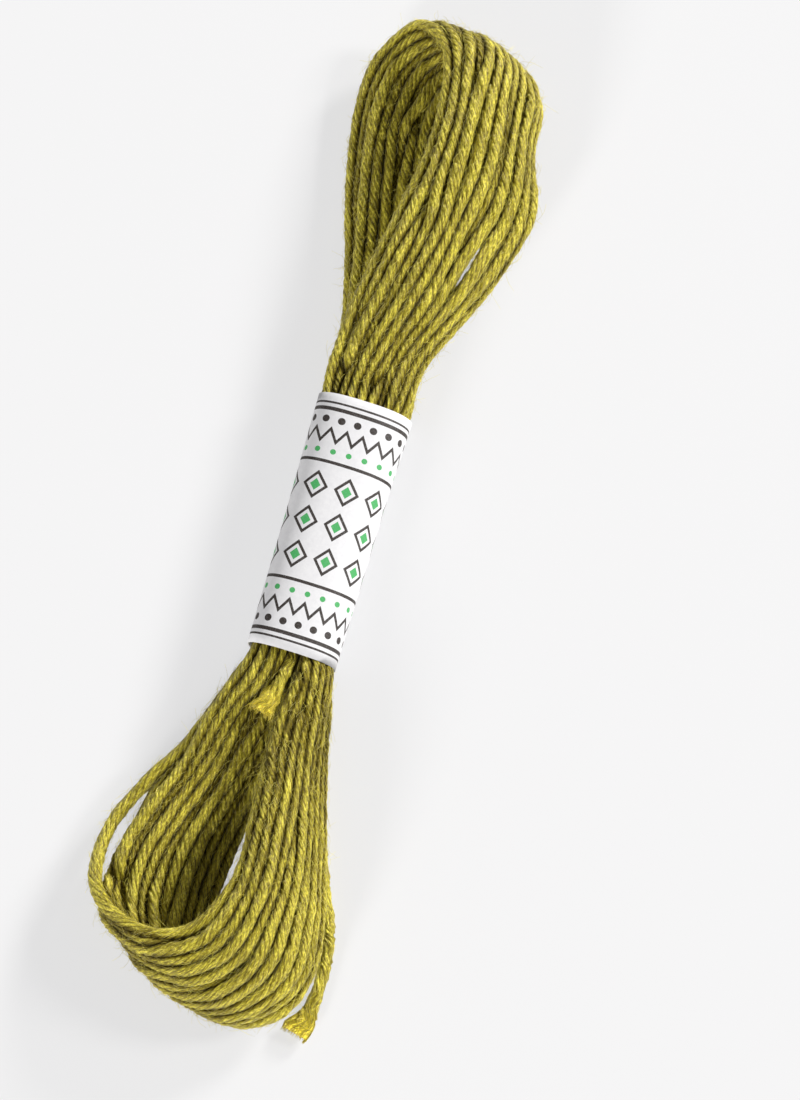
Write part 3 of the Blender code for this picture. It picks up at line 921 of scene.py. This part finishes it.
class Thread:
    """One twisted thread: its centre line, and the rings of its surface."""

    def __init__(self, line, closed, rng, straight=0.0):
        """straight: how long the plies run without twist at the end, in millimetres."""
        self.line = line
        self.tangents, normals, binormals = carried_frames(line, closed)
        self.lengths = walked_along(whole_line(line, closed))
        total = self.lengths[-1]
        walked = self.lengths[:len(line)]
        self.radius = thread_radius(line[:, 1]) * rng.uniform(*RADIUS_SPREAD)
        self.radius = self.radius * (1 + loose_wave(rng, walked, total, RADIUS_WAVE))
        lead = TWIST_LEAD * rng.uniform(*LEAD_SPREAD)
        twist = rng.uniform(0, 2 * math.pi) - 2 * math.pi * np.minimum(walked, total - straight) / lead
        if closed:
            # The carried frame comes back turned by a slip: the twist is eased to meet itself at a ply
            carried = normals[-1] - self.tangents[0] * normals[-1].dot(self.tangents[0])
            slip = math.atan2(carried.dot(binormals[0]), carried.dot(normals[0]))
            ply = 2 * math.pi / PLIES
            whole = -2 * math.pi * total / lead + slip
            twist = twist + (round(whole / ply) * ply - whole) * walked / total
        twist = twist + loose_wave(rng, walked, total, TWIST_WAVE)
        sides = PLIES * len(PLY_PROFILE)
        angles = twist[:, None] + 2 * math.pi * np.arange(sides)[None, :] / sides
        plump = np.stack([1 + loose_wave(rng, walked, total, PLY_WAVE) for _ in range(PLIES)], axis=1)
        plump = np.repeat(plump, len(PLY_PROFILE), axis=1)
        flat = 1 + FLATNESS * np.cos(2 * angles + loose_wave(rng, walked, total, FLAT_WAVE)[:, None])
        reach = self.radius[:, None] * np.tile(np.array(PLY_PROFILE), PLIES)[None, :] * plump * flat
        sideways = normals[:, None, :] * np.cos(angles)[..., None]
        spokes = sideways + binormals[:, None, :] * np.sin(angles)[..., None]
        self.rings = line[:, None, :] + spokes * reach[..., None]


def loose_wave(rng, walked, total, wave):
    """A smooth random wave that closes on itself over the whole length."""
    turn = 2 * math.pi * walked / total
    numbers = [max(1, round(wave.number * share)) for share in WAVE_SHARES]
    sines = sum(np.sin(number * turn + rng.uniform(0, 2 * math.pi)) for number in numbers)
    return wave.size * (sines / WAVE_HEIGHT)


def press_together(threads):
    """Flattens threads where they touch, and marks the narrow valleys between them, which get painted shade.
    """
    centres = np.vstack([thread.line for thread in threads])
    tangents = np.vstack([thread.tangents for thread in threads])
    radius = np.concatenate([thread.radius for thread in threads])
    owner = np.concatenate([np.full(len(thread.line), k) for k, thread in enumerate(threads)])
    rings = np.concatenate([thread.rings for thread in threads])
    tree = tree_of(centres)
    near = []
    for index, centre in enumerate(centres):
        own = {}
        for _, other, distance in tree.find_range(centre, 2 * THREAD_RADIUS + VALLEY_WIDTH):
            thread = owner[other]
            if thread != owner[index] and distance < own.get(thread, (math.inf, 0))[0]:
                own[thread] = (distance, other)
        near.append([other for _, other in sorted(own.values())[:NEIGHBOURS]])
    clear = np.full(rings.shape[:2], VALLEY_WIDTH)
    for rank in range(NEIGHBOURS):
        here = np.array([index for index, others in enumerate(near) if len(others) > rank])
        other = np.array([near[index][rank] for index in here])
        away = rings[here] - centres[other][:, None, :]
        away -= tangents[other][:, None, :] * np.einsum("nsc,nc->ns", away, tangents[other])[..., None]
        distance = np.linalg.norm(away, axis=2)
        room = distance - radius[other][:, None]
        rings[here] += away / distance[..., None] * (np.maximum(-room, 0.0) / 2)[..., None]
        clear[here] = np.minimum(clear[here], np.maximum(room, 0.0))
    valley = clear / VALLEY_WIDTH
    start = 0
    for thread in threads:
        end = start + len(thread.line)
        thread.rings, thread.valley = rings[start:end], valley[start:end]
        start = end


def make_turns(threads, material):
    """The turns in a few pieces, so that none is too heavy."""
    for group in range(0, TURNS, TURNS_A_PIECE):
        mesh = ThreadMesh()
        for number, thread in enumerate(threads[group:group + TURNS_A_PIECE], group):
            mesh.add(thread.rings, thread.lengths + number * THREAD_OFFSET, True, thread.valley)
        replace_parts(mesh.build(f"turns_{group // TURNS_A_PIECE}", material), "skein")


def smooth_thread(route, closed, rng, straight=0.0):
    """A thread with a smooth centre line through the points of its route."""
    route = np.array(route)
    count = round(walked_along(whole_line(route, closed))[-1] / RING_STEP)
    return Thread(smooth_line(route, count, closed), closed, rng, straight)


def make_cut_end(name, node, thread, brush, rng, material):
    """A cut end: twisted thread whose plies run straight and spread into a flat brush at the cut."""
    spread_brush(thread, brush, rng)
    mesh = ThreadMesh()
    mesh.add(thread.rings, thread.lengths, False, thread.valley)
    add_brush_fibres(mesh, thread, rng)
    piece = mesh.build(name, material)
    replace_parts(piece, node)


def spread_brush(thread, brush, rng):
    """Widens and flattens the last rings of a cut end, and cuts them nearly straight."""
    left = thread.lengths[-1] - thread.lengths[:len(thread.line)]
    t = eased(1 - left / FRAY_LENGTH)[:, None, None]
    across = np.array(brush.across)
    across = unit(across - thread.tangents * (thread.tangents @ across)[:, None])[:, None, :]
    lift = np.cross(thread.tangents[:, None, :], across)
    lift = lift * np.sign(lift[..., 2:])
    spoke = thread.rings - thread.line[:, None, :]
    wide = np.sum(spoke * across, axis=2, keepdims=True)
    high = np.sum(spoke * lift, axis=2, keepdims=True)
    thread.rings = thread.rings + across * (wide * t * (brush.wide - 1) + t * brush.shift)
    thread.rings = thread.rings + lift * (high * t * (brush.flat - 1) + t * brush.rise)
    uneven = rng.uniform(-CUT_UNEVENNESS, CUT_UNEVENNESS, (thread.rings.shape[1], 1))
    thread.rings[-1] += thread.tangents[-1] * uneven
    thread.rings[..., 2] = np.maximum(thread.rings[..., 2], BRUSH_OVER_TABLE)
    # The brush's rings take the valley FRAYED, which paints them lighter than the silk: painted light
    thread.valley = thread.valley * (1 - t[..., 0]) + FRAYED * t[..., 0]


def add_brush_fibres(mesh, thread, rng):
    """Single fibres along the brush that end a little before or after the cut."""
    count = round(FRAY_LENGTH / RING_STEP) + 2
    rings = thread.rings[-count:]
    middles = rings.mean(axis=1)
    sides = rings.shape[1]
    for _ in range(BRUSH_FIBRES):
        spot = rng.uniform(0, sides)
        first, share = int(spot), spot % 1
        strand = rings[:, first] * (1 - share) + rings[:, (first + 1) % sides] * share
        strand = strand[rng.integers(0, count - 3):]
        strand = strand + (strand - middles[-len(strand):]) * rng.uniform(*FIBRE_SPREAD)
        ahead = unit(strand[-1] - strand[-2])
        strand = np.vstack([strand, strand[-1] + ahead * rng.uniform(*FIBRE_PAST_CUT)])
        # Each fibre takes the valley FRAYED too: painted light
        add_tube(mesh, strand, np.full(len(strand), rng.uniform(*FIBRE_RADIUS)), FIBRE_SIDES, FRAYED)


def add_tube(mesh, path, radius, sides, valley=1.0):
    _, normals, binormals = carried_frames(path, False)
    angles = 2 * math.pi * np.arange(sides) / sides
    ring = normals[:, None, :] * np.cos(angles)[:, None] + binormals[:, None, :] * np.sin(angles)[:, None]
    rings = path[:, None, :] + ring * radius[:, None, None]
    mesh.add(rings, walked_along(path), False, np.full((len(path), sides), valley))


def make_fuzz(threads, rng, material):
    """Fine fibres that stand off the threads, where there is room for them."""
    tree = tree_of(np.vstack([thread.line for thread in threads]))
    t = np.linspace(0, 1, HAIR_POINTS)[:, None]
    hairs = []
    while len(hairs) < HAIRS:
        thread = threads[rng.integers(len(threads))]
        start = rng.integers(2, len(thread.line) - 2)
        point = thread.line[start]
        along = thread.tangents[start] * rng.choice((-1, 1))
        out = unit(np.cross(along, rng.normal(size=3)))
        length = min(rng.gamma(*HAIR_LENGTHS) + SHORTEST_HAIR, LONGEST_HAIR)
        swing = np.cross(along, out) * rng.normal() * HAIR_SWING
        lift = out * np.sin(t * HAIR_ARCH) * rng.uniform(*HAIR_LIFT) + along * t + swing * t ** 2
        path = point + out * thread.radius[start] * HAIR_ROOT + lift * length
        off_band = abs(point[1]) >= BAND_LENGTH / 2 + HAIR_OFF_BAND
        off_thread = tree.find(path[-1])[2] >= THREAD_RADIUS
        if off_band and off_thread and path[-1, 2] >= HAIR_OVER_TABLE:
            hairs.append(path)
    for group in range(0, HAIRS, HAIRS_A_PIECE):
        mesh = ThreadMesh()
        for path in hairs[group:group + HAIRS_A_PIECE]:
            add_tube(mesh, path, HAIR_RADIUS * (1 - HAIR_THINNING * t[:, 0]), HAIR_SIDES)
        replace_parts(mesh.build(f"fuzz_{group // HAIRS_A_PIECE}", material), "skein")


# ---------------- the paper band

BAND_SIDES = 120
BAND_STATIONS = 25
SEAM_TURN = -0.42  # where the strip starts, in turns from the right side
OVERLAP_TURNS = 0.12
TUCK_SPARE = 0.02  # turns that the strip's start stays tucked in beyond the overlap
TUCK = 1.05  # how deep, in thicknesses of the paper
PAPER_INSET = 0.02  # how far inside the solid's surface the paper's ripples are centred
RIPPLES = 4
RIPPLE_HEIGHT = 0.012
RIPPLE_PACE = (0.15, 0.5)  # along the band, in radians a millimetre
TOP_SHARPNESS = 0.05  # helps to find the middle of the band's flat top


def band_section(y, turn, outward):
    """A point of the paper at y, and a fraction of a turn round it."""
    middle, half_width = band_shape(y)
    half_height = (BAND_HEIGHT + BAND_FLAT_CUT) / 2
    angle = 2 * math.pi * turn
    cosine, sine = math.cos(angle), math.sin(angle)
    dx = math.copysign(abs(cosine) ** (2 / BAND_SQUARENESS), cosine) * (half_width + outward)
    dz = math.copysign(abs(sine) ** (2 / BAND_SQUARENESS), sine) * (half_height + outward)
    z = half_height - BAND_FLAT_CUT - BAND_LEAN * dx + dz
    return np.array([middle + dx, y, max(z, -outward)])


def make_band(rng, material):
    """A strip of paper wound once round, its end glued over its start underneath."""
    turns = SEAM_TURN + np.linspace(0.0, 1.0 + OVERLAP_TURNS, BAND_SIDES)
    stations = np.linspace(-BAND_LENGTH / 2, BAND_LENGTH / 2, BAND_STATIONS)
    waves = [(rng.uniform(*RIPPLE_PACE), rng.uniform(0, 6), rng.integers(1, 4)) for _ in range(RIPPLES)]

    def ripple(y, turn):
        phases = [pace * y + shift + 2 * math.pi * many * turn for pace, shift, many in waves]
        return sum(RIPPLE_HEIGHT * math.sin(phase) for phase in phases)

    points = []
    for y in stations:
        for turn in turns:
            tucked = PAPER * TUCK if turn < SEAM_TURN + OVERLAP_TURNS + TUCK_SPARE else 0.0
            points.append(band_section(y, turn, ripple(y, turn) - PAPER_INSET - tucked))
    middle_ring = np.array(points).reshape(BAND_STATIONS, BAND_SIDES, 3)[BAND_STATIONS // 2]
    walked = walked_along(middle_ring)
    top = np.argmax(middle_ring[:, 2] - TOP_SHARPNESS * np.abs(middle_ring[:, 0]))
    faces, uvs = [], []
    for i in range(BAND_STATIONS - 1):
        for k in range(BAND_SIDES - 1):
            corners = ((i, k), (i, k + 1), (i + 1, k + 1), (i + 1, k))
            faces.append([row * BAND_SIDES + column for row, column in corners])
            uvs += [(walked[column] - walked[top], stations[row]) for row, column in corners]
    band = new_object("paper_band", points, faces, uvs, material)
    wall = band.modifiers.new("Wall", "SOLIDIFY")
    wall.thickness = PAPER * MM
    wall.offset = -1.0
    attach(band, "root")
    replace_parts(band, "band")


def main():
    rng = np.random.default_rng(SEED)
    make_camera()
    silk = silk_material()
    loose = smooth_thread(LOOSE_END_ROUTE, False, rng, FRAY_LENGTH)
    outer = smooth_thread(OUTER_END_ROUTE, False, rng, FRAY_LENGTH)
    turns = settled(*laid_turns(rng), [loose.line, outer.line], rng)
    threads = [smooth_thread(turn, True, rng) for turn in turns]
    press_together(threads + [loose, outer])
    make_cut_end("loose_thread", "loose_end", loose, LOOSE_BRUSH, rng, silk)
    make_cut_end("outer_thread", "outer_end", outer, OUTER_BRUSH, rng, silk)
    make_turns(threads, silk)
    make_fuzz(threads, rng, fibre_material())
    make_band(rng, paper_material())
    make_surroundings()


main()
